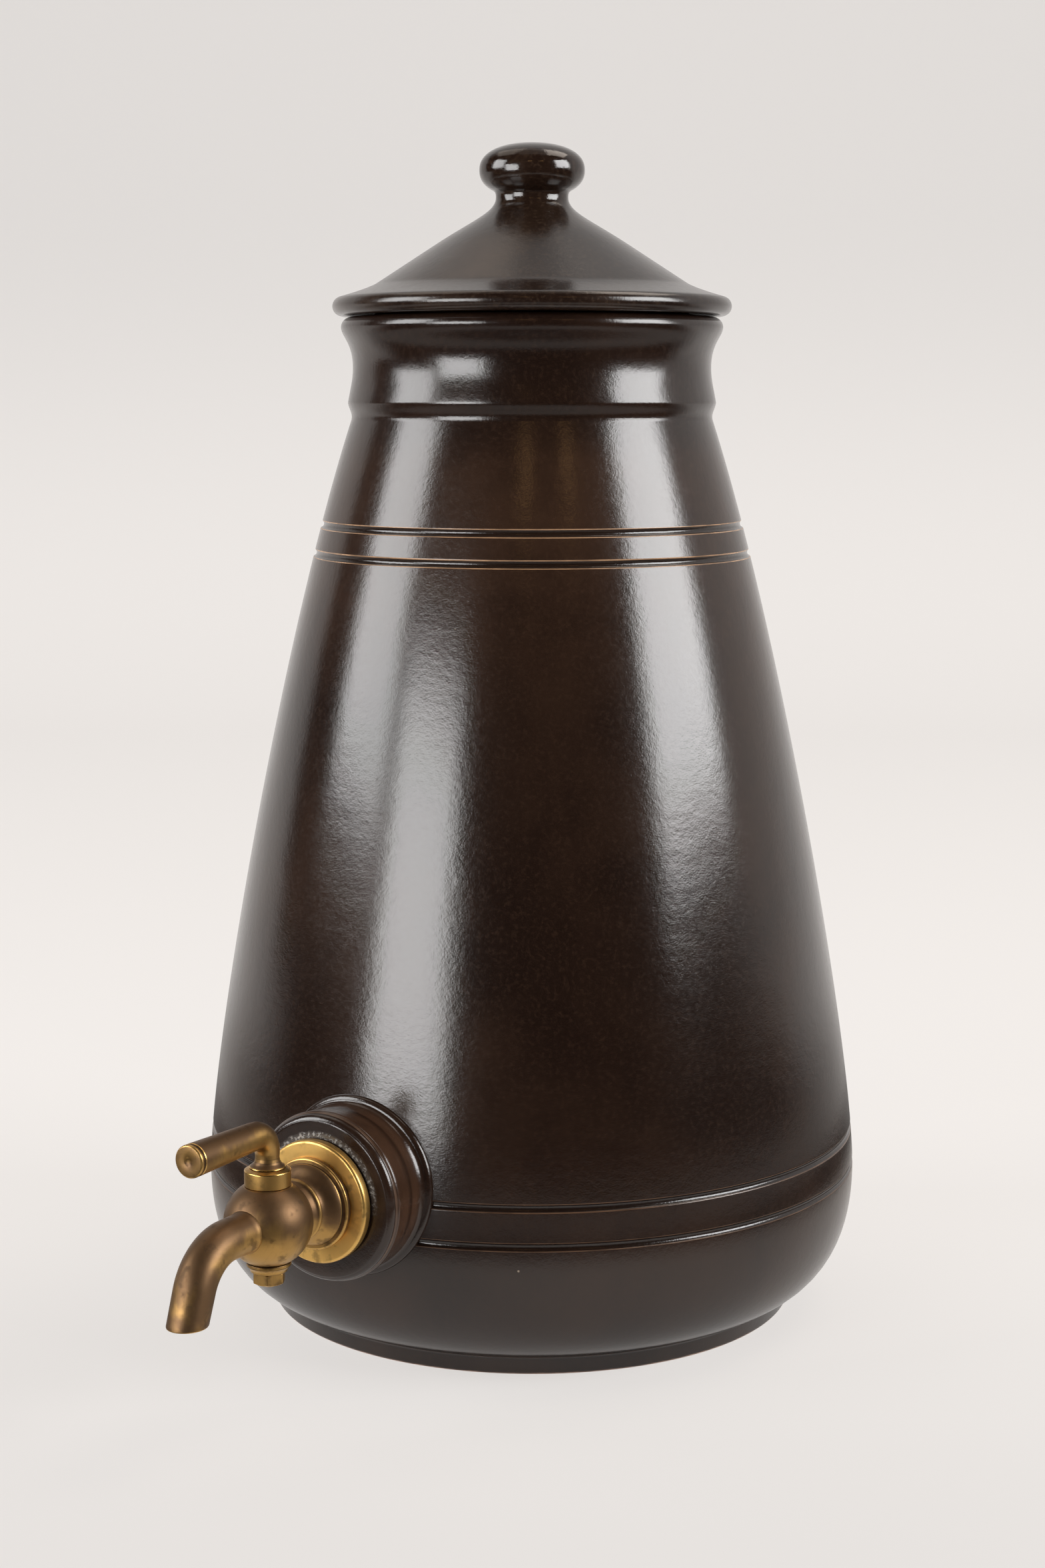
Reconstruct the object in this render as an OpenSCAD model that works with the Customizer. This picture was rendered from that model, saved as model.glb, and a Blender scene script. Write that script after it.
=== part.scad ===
// Glazed clay water pot with a loose lid and a small brass plug tap near its foot.
// Z points up and the pot's own axis is the Z axis. The foot stands on Z = 0.
// The tap points along -Y. All sizes are in millimetres.

/* [Pot] */
// Widest radius of the pot's body
pot_r = 87.4; // [84:0.1:96]
// Height of the widest place
wide_z = 36; // [34:0.5:44]
// Radius of the body where the neck begins
neck_r = 47.5; // [46:0.1:54]
// Height at which the neck begins
neck_z = 236; // [215:1:260]
// Thickness of the fired clay wall
wall_t = 6; // [5:0.1:7]
// Thickness of the floor above the foot's hollow
floor_t = 6; // [4:0.1:9]
// Radius of the foot ring
foot_r = 70.4; // [60:0.1:74]
// How much the foot ring widens towards its top
foot_flare = 0.6; // [0:0.1:1.5]
// Height of the foot ring
foot_h = 4.9; // [3.5:0.1:6]
// Width of the foot ring's standing face
foot_w = 8; // [5:0.1:12]
// Depth of the hollow inside the foot ring
foot_hollow = 3; // [1.5:0.1:3.4]
// Steepness of the side just above the widest place
side_rise = 28.5; // [12:0.5:40]
// Length of the nearly straight cone below the neck
side_run = 60; // [50:1:90]
// Lean of the side where it meets the neck, in degrees
side_lean = 18.4; // [12:0.1:22]

/* [Neck and rim] */
// Height of the neck, from its start to the top of the rim
neck_h = 26.5; // [24:0.1:32]
// Height of the bead's crest above the neck's start
bead_up = 4.4; // [3.6:0.1:6]
// How far the bead stands out past the neck's start
bead_out = 0.85; // [0.3:0.05:2]
// Height of the neck's waist above its start
waist_up = 13.2; // [11:0.1:15]
// How much narrower the waist is than the neck's start
waist_in = 0.5; // [0:0.05:1.5]
// How far the rim stands out past the neck's start
rim_out = 2.5; // [1.5:0.1:4]
// Rounding of the rim's outer edge
rim_roll_r = 2.6; // [2:0.1:3]
// Rounding of the rim's inner edge
rim_inner_r = 1.5; // [0.8:0.1:2]
// Thickness of the wall at the waist
neck_wall_t = 5; // [4:0.1:6]

/* [Incised rings] */
// Drop from the neck's start to the first ring below it
upper_ring_a = 27.1; // [24:0.1:30]
// Drop from the neck's start to the second ring below it
upper_ring_b = 34.6; // [32:0.1:38]
// Height of the ring above the widest place
lower_ring_a = 48; // [47:0.1:52]
// Height of the ring at the widest place
lower_ring_b = 38.5; // [34:0.1:41]
// Radius of the tool that cuts the rings
ring_tool_r = 1.1; // [0.8:0.05:1.5]
// Depth of the rings
ring_depth = 0.6; // [0.3:0.05:0.9]

/* [Lid] */
// Radius of the lid's overhanging flange
flange_r = 52.2; // [51:0.1:58]
// Radius of the flange's round edge
flange_edge_r = 2.5; // [2.2:0.1:3.6]
// Radius at the foot of the lid's cone
cone_r = 41.9; // [40:0.1:44]
// Height of the cone's foot above the lid's underside
cone_foot = 7.6; // [7:0.1:9]
// Height of the cone from its foot to the knob's neck
cone_h = 22.8; // [18:0.1:28]
// Radius of the knob
knob_r = 13.75; // [12:0.05:17]
// Half of the knob's full height
knob_half = 7; // [6:0.1:8]
// Radius of the knob's neck
knob_neck_r = 9.46; // [8:0.02:11]
// Thickness of the lid
lid_t = 6; // [4.5:0.1:7]
// Height of the locating ring that drops into the mouth
spigot_h = 8; // [5:0.1:14]
// Thickness of the locating ring
spigot_t = 5; // [3.5:0.1:6]
// Clearance between the locating ring and the mouth
lid_fit = 1.5; // [0.8:0.1:2.5]
// Gap between the resting lid and the rim
lid_gap = 0.3; // [0.2:0.05:0.6]

/* [Boss for the tap] */
// Height of the tap's axis
tap_z = 50; // [46:0.5:60]
// How far the boss stands out past the widest place
boss_out = 11.8; // [8:0.1:14]
// Radius of the boss at its front
boss_r = 21.1; // [20:0.1:23]
// How much wider the boss is where it leaves the body
boss_spread = 1; // [0:0.1:1.6]
// Rounding of the boss's front edge
boss_edge_r = 2; // [1:0.1:2.6]
// Width of the cove between boss and body
boss_cove = 2.5; // [1.5:0.1:3.5]
// Height of the cove between boss and body
boss_cove_h = 5; // [3:0.1:6]
// Radius of the hole through boss and wall
hole_r = 9; // [8.7:0.05:9.6]
// Radius of the flat that is cut round the hole inside the pot
seat_r = 14.5; // [14.1:0.1:16]

/* [Shank of the tap] */
// Outer radius of the threaded shank
shank_r = 8.3; // [7.8:0.05:8.5]
// Length of the shank behind the tap's shoulder
shank_l = 32.2; // [30:0.1:38]
// Pitch of the shank's thread
thread_pitch = 1.34; // [1:0.01:1.6]
// Depth of the shank's thread
thread_depth = 0.7; // [0.4:0.05:0.8]
// Radius of the waterway
water_r = 3.5; // [2.8:0.05:3.6]
// Clearance of the rings that slip over the shank
ring_fit = 0.25; // [0.15:0.05:0.35]
// Clearance of the threaded nut on the shank
nut_fit = 0.05; // [0.02:0.01:0.1]

/* [Rings on the shank] */
// Radius of the brass cover ring against the boss
cover_r = 15.2; // [14:0.1:18]
// Thickness of the cover ring
cover_t = 2.4; // [1.8:0.1:3]
// Rounding of the cover ring's front edge
cover_edge = 0.9; // [0.5:0.05:1.4]
// Thickness of the seal behind the cover ring
front_seal_t = 0.8; // [0.5:0.1:1.4]
// How much smaller the front seal is than the cover ring
front_seal_in = 0.6; // [0.2:0.1:1.5]
// Radius of the seal inside the pot
back_seal_r = 13.8; // [12.5:0.1:14]
// Thickness of the seal inside the pot
back_seal_t = 2.5; // [1.5:0.1:3]
// Radius of the backing washer
backing_r = 13.2; // [12:0.1:14]
// Thickness of the backing washer
backing_t = 1.5; // [1:0.1:2]
// Width of the lock nut across its flats
lock_af = 23; // [21:0.5:24]
// Thickness of the lock nut
lock_t = 5; // [4:0.1:6]

/* [Tap body] */
// Radius of the shoulder that presses on the cover ring
shoulder_r = 11.35; // [10.8:0.05:12.5]
// Thickness of the shoulder
shoulder_t = 1.7; // [1.2:0.1:2.2]
// Rounding of the shoulder's front edge
shoulder_edge = 0.7; // [0.3:0.05:1]
// Length of the step in front of the shoulder
step_l = 0.6; // [0.4:0.05:1]
// Radius of the step in front of the shoulder
step_r = 10; // [9.4:0.1:10.6]
// Narrowest radius of the neck behind the ball
throat_r = 6.9; // [6.2:0.1:7.4]
// Radius of the bead where the neck meets the ball
ball_bead_r = 7.7; // [7.5:0.05:8.2]
// Half thickness of that bead
ball_bead_t = 0.8; // [0.5:0.05:1]
// Radius of the ball
ball_r = 10.6; // [10.2:0.05:11.4]
// Distance from the shoulder's back to the ball's centre
ball_reach = 17.8; // [17:0.1:20]

/* [Spout] */
// Outer radius of the spout
spout_r = 4.9; // [4.6:0.05:5.2]
// Wall of the spout
spout_t = 1.3; // [1:0.05:1.4]
// How much the straight end of the spout is turned down
tip_in = 0.1; // [0.05:0.01:0.2]
// Distance from the ball's centre to the start of the bend
spout_run = 16; // [14:0.1:22]
// Radius of the bend
spout_bend = 13; // [10:0.1:16]
// Angle of the bend, in degrees
spout_angle = 70; // [60:1:85]
// Drop of the mouth below the tap's axis
spout_drop = 16; // [15:0.1:19]
// Depth of the spout's socket, measured from the ball's surface
socket_depth = 3.6; // [2.5:0.1:4]

/* [Plug] */
// Radius of the tapered plug at the ball's upper face
plug_top_r = 4.9; // [4.6:0.05:5.1]
// Radius of the tapered plug at the ball's lower face
plug_low_r = 4.1; // [4:0.05:4.4]
// Running clearance of the plug in the ball
plug_fit = 0.05; // [0.03:0.01:0.09]
// How much smaller the plug's cross hole is than the waterway
key_in = 0.4; // [0:0.05:0.8]
// Radius of the collar on the plug
collar_r = 5.5; // [5.3:0.05:6.2]
// Height of the collar
collar_h = 4.3; // [3.5:0.1:5]
// Rounding of the collar's upper edge
collar_edge = 1; // [0.5:0.05:1.4]
// Width of the square that drives the washer
square_w = 4.4; // [4:0.1:5]
// Radius of the threaded tail
tail_r = 1.9; // [1.6:0.05:2]
// Length of the tail that shows below the nut
tail_out = 1; // [0.6:0.1:1.6]

/* [Washer and nut under the ball] */
// Upper radius of the washer
washer_r = 4.95; // [4.6:0.05:5.4]
// Lower radius of the washer
washer_low_r = 4.1; // [3.8:0.05:4.4]
// Thickness of the washer
washer_t = 2.3; // [1.6:0.1:2.6]
// Width of the nut across its flats
nut_af = 7; // [6.5:0.1:7.6]
// Thickness of the nut
nut_t = 2.9; // [2.4:0.1:3.4]
// Gap between faces that slide on each other
face_gap = 0.1; // [0.05:0.01:0.2]

/* [Lever] */
// Height of the lever's bar above the collar
lever_up = 8.6; // [8:0.1:11]
// Distance from the plug's axis to the end of the lever
lever_reach = 29.5; // [26:0.1:40]
// Radius of the stem just above the collar
stem_r = 2.75; // [2.5:0.05:3]
// Radius of the bar at the bend
elbow_r = 3.25; // [3.1:0.05:3.5]
// Radius of the bar at its end
grip_r = 3.9; // [3.6:0.05:4.6]
// Radius of the bend
lever_bend = 5.2; // [4.6:0.1:6]
// Distance of the turned groove from the bar's end
groove_back = 1.5; // [1:0.1:2.5]
// Depth of the turned groove
groove_depth = 0.35; // [0.2:0.05:0.5]
// Length of the spigot that joins stem and collar
spigot_l = 3.2; // [2:0.1:3.6]
// Radius of that spigot
spigot_r = 1.8; // [1.5:0.05:2]

/* [Hidden] */
$fn = 96;
// Points on a long curve
curve_steps = 18;
// How far a cutting tool runs past the face that it opens
cut = 1;
// Colours
glaze = "#3a2a25";
brass = "#9c7a3c";
bright_brass = "#b9934a";
seal_rubber = "#2b2b2d";

// Pot: levels and radii that follow from the sizes above
rim_z = neck_z + neck_h;
waist_r = neck_r - waist_in;
waist_z = neck_z + waist_up;
rim_r = neck_r + rim_out;
mouth_r = waist_r - neck_wall_t;
floor_z = foot_hollow + floor_t;
inner_r = pot_r - wall_t;
inner_foot_r = foot_r - wall_t;

// Tap: places along its axis, as distances from the pot's axis. The boss starts inside
// the wall, and the flat for the back seal is cut just past the wall's inner face
boss_skin = 1.2;
seat_skin = 0.1;
boss_face = pot_r + boss_out;
boss_root = inner_r + boss_skin;
seat_face = inner_r + seat_skin;
cover_back = boss_face + front_seal_t;
shoulder_back = cover_back + cover_t;
step_front = shoulder_back + shoulder_t + step_l;
ball_y = shoulder_back + ball_reach;
socket_floor = ball_y + ball_r - socket_depth;
bend_y = ball_y + spout_run;
tip_lap = 0.5;
backing_front = seat_face - back_seal_t;
lock_front = backing_front - backing_t;
lock_back = lock_front - lock_t;

// Tap: heights of the plug's pieces. The ball's flats are a little wider than what turns on them
flat_margin = 0.1;
top_flat = tap_z + sqrt(pow(ball_r, 2) - pow(collar_r + flat_margin, 2));
low_flat = tap_z - sqrt(pow(ball_r, 2) - pow(washer_r + flat_margin, 2));
collar_low = top_flat + face_gap;
collar_top = collar_low + collar_h;
stem_low = collar_top + 0.1;
washer_top = low_flat - face_gap;
nut_top = washer_top - washer_t;
nut_low = nut_top - nut_t;
tail_low = nut_low - tail_out;
lever_z = collar_top + lever_up;
mouth_z = tap_z - spout_drop;

// A point at share t of a cubic curve with the control points a, b, c and d
function bezier(a, b, c, d, t) =
    pow(1 - t, 3) * a + 3 * pow(1 - t, 2) * t * b + 3 * (1 - t) * t * t * c + pow(t, 3) * d;

// Points along such a curve, without its first one
function curve(a, b, c, d, n = curve_steps) = [for (i = [1:n]) bezier(a, b, c, d, i / n)];

// Points along an arc of radius r about the centre c, from angle a to angle b
function arc(c, r, a, b, n = 8) =
    [for (i = [0:n]) let (turn = a + (b - a) * i / n) c + r * [cos(turn), sin(turn)]];

// Outline of the belly from the foot to the widest place, drawn in by the distance t
function belly(t, foot, low) =
    curve([foot, low], [foot + 0.4, low], [pot_r - t, low + 3.4], [pot_r - t, wide_z], 12);

// Outline of the side from the widest place to the neck, drawn in by the distance t
function side(t) = curve([pot_r - t, wide_z], [pot_r - t, wide_z + side_rise],
                         [neck_r - t + side_run * sin(side_lean), neck_z - side_run * cos(side_lean)],
                         [neck_r - t, neck_z]);

// Outline of the neck: a hollow, the bead, the waist and the flare to the rim
function neck() =
    let (bead = [neck_r + bead_out, neck_z + bead_up], waist = [waist_r, waist_z],
         rim = [rim_r, rim_z - rim_roll_r], flare = rim[1] - waist_z)
    concat(
        curve([neck_r, neck_z], [neck_r - 0.4, neck_z + bead_up * 0.4],
              bead - [0.3, bead_up * 0.42], bead, 6),
        curve(bead, bead + [-0.35, 2.5], waist - [0, 3], waist, 8),
        curve(waist, waist + [-0.2, flare * 0.62], rim - [0, flare * 0.22], rim, 10));

// The incised rings sit where the side has this radius
function side_r(z) = lookup(z, [for (p = concat([[pot_r, wide_z]], side(0))) [p[1], p[0]]]);

// Turns its children so that their Z axis is the tap's axis
module on_tap_axis() {
    translate([0, 0, tap_z]) rotate([90, 0, 0]) children();
}

// A ring round the Z axis between two heights
module ring(outer, bore, low, high) {
    translate([0, 0, low]) difference() {
        cylinder(r = outer, h = high - low);
        translate([0, 0, -cut]) cylinder(r = bore, h = high - low + 2 * cut);
    }
}

// A hexagon prism with turned-off corners on both faces
module hex_nut(af, bore, low, high) {
    corner_r = af / sqrt(3);
    bevel = 0.1 * af;
    difference() {
        intersection() {
            translate([0, 0, low]) cylinder(r = corner_r, h = high - low, $fn = 6);
            rotate_extrude() polygon([
                [0, low], [corner_r - bevel, low], [corner_r, low + bevel / 2],
                [corner_r, high - bevel / 2], [corner_r - bevel, high], [0, high]]);
        }
        translate([0, 0, low - cut]) cylinder(r = bore, h = high - low + 2 * cut);
    }
}

// The blunt tool of an incised ring at the height z on the side: twelve flats are round enough
module ring_cut(z) {
    radius = z < wide_z ? pot_r : side_r(z);
    translate([radius + ring_tool_r - ring_depth, z]) rotate(15) circle(r = ring_tool_r, $fn = 12);
}

// Half section of the pot without its boss
module pot_section() {
    roll_at = rim_r - rim_roll_r;
    difference() {
        union() {
            polygon(concat(
                [[0, foot_hollow], [foot_r - foot_w, foot_hollow], [foot_r - foot_w, 0], [foot_r, 0],
                 [foot_r + foot_flare, foot_h]],
                belly(0, foot_r + foot_flare, foot_h), side(0), neck(),
                [[roll_at, rim_z - rim_roll_r], [0, rim_z - rim_roll_r]]));
            translate([roll_at, rim_z - rim_roll_r]) circle(r = rim_roll_r, $fn = 32);
            translate([mouth_r + rim_inner_r, rim_z - rim_inner_r]) circle(r = rim_inner_r, $fn = 24);
            translate([mouth_r + rim_inner_r, rim_z - rim_roll_r])
                square([roll_at - mouth_r - rim_inner_r, rim_roll_r]);
        }
        polygon(concat(
            [[0, floor_z], [inner_foot_r, floor_z]],
            belly(wall_t, inner_foot_r, floor_z), side(wall_t),
            [[mouth_r, neck_z + 3], [mouth_r, rim_z - rim_inner_r], [0, rim_z - rim_inner_r]]));
        for (down = [upper_ring_a, upper_ring_b]) ring_cut(neck_z - down);
        for (up = [lower_ring_a, lower_ring_b]) ring_cut(up);
    }
}

// The round boss that carries the tap, with a cove where it leaves the body
module boss() {
    wide = boss_r + boss_spread;
    on_tap_axis() rotate_extrude() polygon(concat(
        [[0, boss_root], [wide + boss_cove, boss_root]],
        curve([wide + boss_cove, boss_root], [wide + boss_cove / 3, boss_root + boss_cove_h / 3],
              [wide, boss_root + boss_cove_h * 2 / 3], [wide, boss_root + boss_cove_h], 6),
        arc([boss_r - boss_edge_r, boss_face - boss_edge_r], boss_edge_r, 0, 90),
        [[0, boss_face]]));
}

// Pot: body, neck, foot and boss are one fired piece
module pot_body() {
    color(glaze) difference() {
        union() {
            rotate_extrude() pot_section();
            boss();
        }
        on_tap_axis() {
            cylinder(r = hole_r, h = boss_face + cut);
            translate([0, 0, lock_back]) cylinder(r = seat_r, h = seat_face - lock_back);
        }
    }
}

// Outline of the knob above its neck: a flattened round with slightly full shoulders
function knob_outline(mid, fullness = 2.3, n = 22) = [for (i = [0:n])
    let (a = -47 + 137 * i / n, s = sin(a), c = cos(a))
    [knob_r * pow(abs(c), 2 / fullness), mid + knob_half * sign(s) * pow(abs(s), 2 / fullness)]];

// Lid: cone, knob, overhanging flange and locating ring in one fired piece
module lid() {
    low = rim_z + lid_gap;
    spigot_r_out = mouth_r - lid_fit;
    spigot_r_in = spigot_r_out - spigot_t;
    cone_low = low + cone_foot;
    neck_at = cone_low + cone_h;
    // the straight cone ends here and sweeps up into the knob's neck
    crest_out = 15.24;
    crest_drop = 11.7;
    knob_mid = neck_at + knob_half;
    crest = [knob_neck_r + crest_out, neck_at - crest_drop];
    slope = atan2(crest[1] - cone_low, cone_r - crest[0]);
    drop = lid_t * cos(slope);
    inward = lid_t * sin(slope);
    // heights of the inner cone above the locating ring's inner face and below the knob
    inner_low = cone_low - drop + (cone_r - inward - spigot_r_in) * tan(slope);
    inner_top = cone_low - drop + (cone_r - inward - knob_neck_r) * tan(slope);
    color(glaze) rotate_extrude() difference() {
        union() {
            polygon(concat(
                [[0, low], [flange_r - flange_edge_r, low],
                 [flange_r - flange_edge_r, low + 2 * flange_edge_r],
                 [cone_r + 1.4, cone_low - 0.6], [cone_r, cone_low], crest],
                curve(crest, crest + 0.6 * [-crest_out, crest_out * tan(slope)],
                      [knob_neck_r, neck_at - 3.6], [knob_neck_r, neck_at], 10),
                knob_outline(knob_mid)));
            translate([flange_r - flange_edge_r, low + flange_edge_r]) circle(r = flange_edge_r, $fn = 48);
            translate([spigot_r_in, low - spigot_h]) square([spigot_t, spigot_h + cut]);
        }
        polygon([[0, low - cut], [spigot_r_in, low - cut], [spigot_r_in, inner_low],
                 [knob_neck_r, inner_top], [0, inner_top + 1]]);
    }
}

// Thread rings of the shank, as points up its side
function thread(low, high, r, pitch, depth) = [
    for (i = [0:floor((high - low) / pitch) - 1], k = [0, 1])
        [r - (k == 0 ? depth : 0), low + (i + 0.5 * k) * pitch]];

// Tap body: ball, neck, shoulder and threaded shank are one casting
module tap_body() {
    shank_end = shoulder_back - shank_l;
    // the thread stops inside the boss's hole
    thread_end = boss_face - boss_out / 2;
    // the neck runs a little way into the ball
    throat = ball_y - ball_r + 0.4;
    step_back = shoulder_back + shoulder_t;
    bead_half = ball_bead_t;
    bead_at = throat - 0.6;
    bevel = 0.3;
    color(brass) difference() {
        union() {
            on_tap_axis() rotate_extrude() polygon(concat(
                [[0, shank_end]],
                thread(shank_end, thread_end, shank_r, thread_pitch, thread_depth),
                [[shank_r, thread_end], [shank_r, shoulder_back],
                 [shoulder_r - bevel, shoulder_back], [shoulder_r, shoulder_back + bevel]],
                arc([shoulder_r - shoulder_edge, step_back - shoulder_edge], shoulder_edge, 0, 90, 5),
                [[step_r, step_back]],
                curve([step_r, step_front - 0.2], [step_r - 0.6, step_front + 1.4],
                      [throat_r, throat - 4 * bead_half], [throat_r, bead_at - bead_half], 10),
                arc([ball_bead_r - bead_half, bead_at], bead_half, -60, 60, 6),
                [[throat_r, bead_at + 1.5 * bead_half], [throat_r, throat + 3], [0, throat + 3]]));
            translate([0, -ball_y, tap_z]) sphere(r = ball_r);
        }
        on_tap_axis() {
            translate([0, 0, shank_end - cut])
                cylinder(r = water_r, h = socket_floor - shank_end + 2 * cut);
            translate([0, 0, socket_floor]) cylinder(r = spout_r, h = socket_depth + cut);
        }
        translate([0, -ball_y, 0]) {
            translate([0, 0, top_flat]) cylinder(r = ball_r, h = ball_r);
            translate([0, 0, low_flat - ball_r]) cylinder(r = ball_r, h = ball_r);
            rotate_extrude() polygon(plug_taper(plug_fit));
        }
    }
}

// Half section of the plug's taper, grown by a clearance and run past both flats
function plug_taper(fit) =
    let (slope = (plug_top_r - plug_low_r) / (top_flat - low_flat), more = fit > 0 ? cut : 0)
    [[0, low_flat - more], [plug_low_r + fit - slope * more, low_flat - more],
     [plug_top_r + fit + slope * more, top_flat + more], [0, top_flat + more]];

// The way of the spout as a solid rod: straight out of the ball, round the bend and down past the mouth
module spout_way(r, start) {
    bend_low = tap_z - spout_bend;
    tip_y = bend_y + spout_bend * sin(spout_angle);
    tip_z = bend_low + spout_bend * cos(spout_angle);
    on_tap_axis() translate([0, 0, start]) cylinder(r = r, h = bend_y - start);
    translate([0, -bend_y, bend_low]) rotate([0, -90, 180])
        rotate_extrude(angle = spout_angle) translate([spout_bend, 0]) circle(r = r);
    translate([0, -tip_y, tip_z]) rotate([90 + spout_angle, 0, 0]) translate([0, 0, -tip_lap])
        cylinder(r = r - tip_in, h = (tip_z - mouth_z) / sin(spout_angle) + spout_r + tip_lap);
}

// Spout: a round tube that runs out of the ball and bends down to a level mouth
module spout() {
    knife = 4 * spout_bend;
    color(brass) difference() {
        spout_way(spout_r, socket_floor);
        spout_way(spout_r - spout_t, socket_floor - cut);
        translate([-knife / 2, -bend_y - knife, mouth_z - knife]) cube([knife, 2 * knife, knife]);
    }
}

// Cover ring: the bright brass disc between the boss and the tap's shoulder
module cover_ring() {
    color(bright_brass) on_tap_axis() difference() {
        rotate_extrude() polygon(concat(
            [[0, cover_back], [cover_r, cover_back]],
            arc([cover_r - cover_edge, shoulder_back - cover_edge], cover_edge, 0, 90, 5),
            [[0, shoulder_back]]));
        translate([0, 0, cover_back - cut]) cylinder(r = shank_r + ring_fit, h = cover_t + 2 * cut);
    }
}

// Front seal: thin rubber ring between boss and cover ring
module front_seal() {
    color(seal_rubber) on_tap_axis()
        ring(cover_r - front_seal_in, shank_r + ring_fit, boss_face, cover_back);
}

// Back seal: rubber ring on the flat round the hole, inside the pot
module back_seal() {
    color(seal_rubber) on_tap_axis() ring(back_seal_r, shank_r + ring_fit, backing_front, seat_face);
}

// Backing washer: brass ring that spreads the lock nut's load
module backing_washer() {
    color(bright_brass) on_tap_axis() ring(backing_r, shank_r + ring_fit, lock_front, backing_front);
}

// Lock nut: holds the whole tap in the boss from inside the pot
module lock_nut() {
    color(bright_brass) on_tap_axis() hex_nut(lock_af, shank_r + nut_fit, lock_back, lock_front);
}

// Plug: tapered key with a cross hole, a collar above and a square and tail below
module plug() {
    color(bright_brass) translate([0, -ball_y, 0]) difference() {
        union() {
            rotate_extrude() polygon(plug_taper(0));
            translate([0, 0, top_flat]) cylinder(r = plug_top_r, h = collar_low - top_flat);
            rotate_extrude() polygon(concat(
                [[0, collar_low], [collar_r, collar_low]],
                arc([collar_r - collar_edge, collar_top - collar_edge], collar_edge, 0, 80, 5),
                [[stem_r, stem_low], [0, stem_low]]));
            translate([-square_w / 2, -square_w / 2, nut_top])
                cube([square_w, square_w, low_flat - nut_top]);
            rotate_extrude() polygon(concat(
                [[0, nut_top], [0, tail_low]],
                arc([0, tail_low + tail_r], tail_r, -80, 0, 6),
                [[tail_r, nut_top]]));
        }
        translate([0, ball_y, 0]) on_tap_axis() translate([0, 0, ball_y - ball_r])
            cylinder(r = water_r - key_in, h = 2 * ball_r);
        translate([0, 0, collar_top - spigot_l]) cylinder(r = spigot_r, h = spigot_l + cut);
    }
}

// Lever: round bar, bent once, that grows towards its turned end
module lever_handle() {
    bend_z = lever_z - lever_bend;
    bar_l = lever_reach - lever_bend;
    groove = bar_l - groove_back;
    color(brass) translate([0, -ball_y, 0]) {
        rotate_extrude() polygon(concat(
            [[0, collar_top - spigot_l], [spigot_r, collar_top - spigot_l], [spigot_r, stem_low],
             [stem_r + 0.7, stem_low]],
            curve([stem_r + 0.7, stem_low], [stem_r, stem_low + 0.4], [stem_r, stem_low + 0.9],
                  [stem_r + 0.1, stem_low + 1.6], 6),
            [[elbow_r, bend_z], [0, bend_z]]));
        translate([0, -lever_bend, bend_z]) rotate([0, -90, 0])
            rotate_extrude(angle = 90) translate([lever_bend, 0]) circle(r = elbow_r);
        translate([0, -lever_bend, lever_z]) rotate([90, 0, 0]) rotate_extrude() polygon(concat(
            [[0, 0], [elbow_r, 0], [grip_r, groove - 0.6], [grip_r, groove - 0.3],
             [grip_r - groove_depth, groove], [grip_r - groove_depth, groove + 0.3]],
            arc([grip_r - 0.5, bar_l - 0.5], 0.4, 0, 90, 5),
            [[0.9, bar_l - 0.1], [0, bar_l - 0.6]]));
    }
}

// Washer under the ball, driven by the plug's square
module plug_washer() {
    hole = square_w + 2 * nut_fit;
    color(bright_brass) translate([0, -ball_y, 0]) difference() {
        rotate_extrude() polygon([
            [0, washer_top], [washer_r, washer_top], [washer_r, washer_top - 0.7],
            [washer_low_r + 0.3, washer_top - 1.3], [washer_low_r + 0.1, washer_top - 1.6],
            [washer_low_r, nut_top], [0, nut_top]]);
        translate([-hole / 2, -hole / 2, nut_top - cut]) cube([hole, hole, washer_t + 2 * cut]);
    }
}

// Nut under the washer
module plug_nut() {
    color(bright_brass) translate([0, -ball_y, 0]) hex_nut(nut_af, tail_r + nut_fit, nut_low, nut_top);
}

pot_body();
lid();
tap_body();
spout();
cover_ring();
front_seal();
back_seal();
backing_washer();
lock_nut();
plug();
lever_handle();
plug_washer();
plug_nut();
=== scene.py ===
import math

import bmesh
import bpy
import numpy as np
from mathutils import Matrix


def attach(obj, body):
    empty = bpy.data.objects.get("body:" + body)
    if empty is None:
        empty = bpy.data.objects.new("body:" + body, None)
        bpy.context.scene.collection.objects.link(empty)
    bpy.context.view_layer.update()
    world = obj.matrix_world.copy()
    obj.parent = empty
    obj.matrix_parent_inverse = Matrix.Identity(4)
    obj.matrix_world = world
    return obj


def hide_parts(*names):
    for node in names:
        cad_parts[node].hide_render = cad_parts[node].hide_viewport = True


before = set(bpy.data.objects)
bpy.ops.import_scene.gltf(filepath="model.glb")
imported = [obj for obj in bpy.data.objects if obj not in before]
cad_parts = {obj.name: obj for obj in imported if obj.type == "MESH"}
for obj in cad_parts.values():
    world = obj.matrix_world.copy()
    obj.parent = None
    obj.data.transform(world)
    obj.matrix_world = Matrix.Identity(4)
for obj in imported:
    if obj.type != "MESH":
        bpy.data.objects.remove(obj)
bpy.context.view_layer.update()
mm = 0.001
print("frame loaded:", len(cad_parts), "nodes")


# outlines are rows of (distance from an axis, place along it), and lengths here are in millimetres

def cubicRow(a, b, c, d, count):
    # (1-t)^3 a + 3 (1-t)^2 t b + 3 (1-t) t^2 c + t^3 d for count values of t above 0
    t = np.linspace(0, 1, count + 1)[1:, None]
    a, b, c, d = (np.asarray(p, float) for p in (a, b, c, d))
    return (1 - t) ** 3 * a + 3 * (1 - t) ** 2 * t * b + 3 * (1 - t) * t * t * c + t ** 3 * d


def arcRow(centre, radius, start, end, count):
    # centre + radius (cos, sin) of angles in degrees from start to end
    turn = np.radians(np.linspace(start, end, count + 1))
    return np.asarray(centre, float) + radius * np.column_stack([np.cos(turn), np.sin(turn)])


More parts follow.
